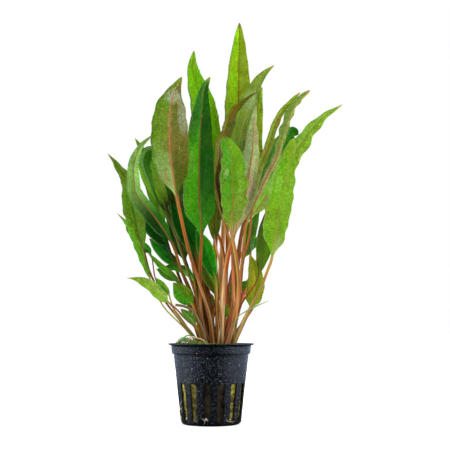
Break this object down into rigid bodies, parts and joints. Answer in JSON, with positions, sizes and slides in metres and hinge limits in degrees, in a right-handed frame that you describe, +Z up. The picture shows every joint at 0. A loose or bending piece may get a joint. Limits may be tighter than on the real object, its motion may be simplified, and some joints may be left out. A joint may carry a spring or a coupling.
{
  "type": "potted cryptocoryne",
  "caption": "Clump of long-stalked pointed water-plant leaves in a small black slotted net pot with rock wool and moss; stands on its flat base.",
  "frame": {"origin": "centre of the pot's flat underside, on the surface that it stands on", "axes": "+Z up along the pot, -Y to the front that the picture shows, +X to that view's right"},
  "size_m": [0.1528, 0.1522, 0.2768],
  "materials": {
    "black_plastic": "satin",
    "rock_wool": "matte",
    "moss": "matte",
    "leaf_bright": "satin",
    "leaf_green": "satin",
    "leaf_dark": "satin",
    "leaf_olive": "satin",
    "leaf_brown": "satin",
    "leaf_pale": "satin"
  },
  "bodies": {
    "root": {"cut_stalk_left": "leaf_olive", "cut_stalk_right": "leaf_brown", "grass_blade_left": "leaf_green", "grass_blade_right": "leaf_bright", "leaf_back_centre_low": "leaf_dark", "leaf_back_centre_tall": "leaf_green", "leaf_back_edge_on": "leaf_dark", "leaf_back_far": "leaf_bright", "leaf_back_left_high": "leaf_green", "leaf_back_left_low": "leaf_dark", "leaf_back_left_tall": "leaf_bright", "leaf_back_left_tip": "leaf_olive", "leaf_back_low_left": "leaf_green", "leaf_back_low_right": "leaf_bright", "leaf_back_right_low": "leaf_green", "leaf_behind_bundle": "leaf_bright", "leaf_behind_front_right": "leaf_green", "leaf_centre_diagonal": "leaf_dark", "leaf_centre_olive": "leaf_olive", "leaf_centre_right_grey": "leaf_pale", "leaf_centre_young": "leaf_bright", "leaf_far_left_wavy": "leaf_olive", "leaf_far_right_long": "leaf_green", "leaf_front_centre_wavy": "leaf_bright", "leaf_front_left_broad": "leaf_brown", "leaf_front_right_broad": "leaf_bright", "leaf_inner_centre": "leaf_dark", "leaf_inner_left": "leaf_dark", "leaf_leaning_right": "leaf_olive", "leaf_left_arched": "leaf_pale", "leaf_left_folded": "leaf_dark", "leaf_left_inner_dark": "leaf_dark", "leaf_left_level": "leaf_green", "leaf_left_narrow": "leaf_bright", "leaf_left_shaded": "leaf_dark", "leaf_left_small": "leaf_dark", "leaf_left_strip": "leaf_green", "leaf_left_yellow": "leaf_bright", "leaf_low_centre": "leaf_green", "leaf_low_left_broad": "leaf_green", "leaf_low_left_dark": "leaf_dark", "leaf_low_left_pointed": "leaf_bright", "leaf_low_left_thin": "leaf_bright", "leaf_low_right_broad": "leaf_bright", "leaf_low_striped": "leaf_pale", "leaf_right_blue_green": "leaf_green", "leaf_right_dark_low": "leaf_olive", "leaf_right_folded": "leaf_olive", "leaf_right_olive": "leaf_olive", "leaf_right_pink": "leaf_pale", "leaf_right_recurved": "leaf_dark", "leaf_tall_dark": "leaf_dark", "leaf_tallest": "leaf_bright", "leaf_twisted_brown": "leaf_brown", "moss": "moss", "pot": "black_plastic", "rock_wool_plug": "rock_wool", "runner": "leaf_pale"}
  },
  "joints": []
}
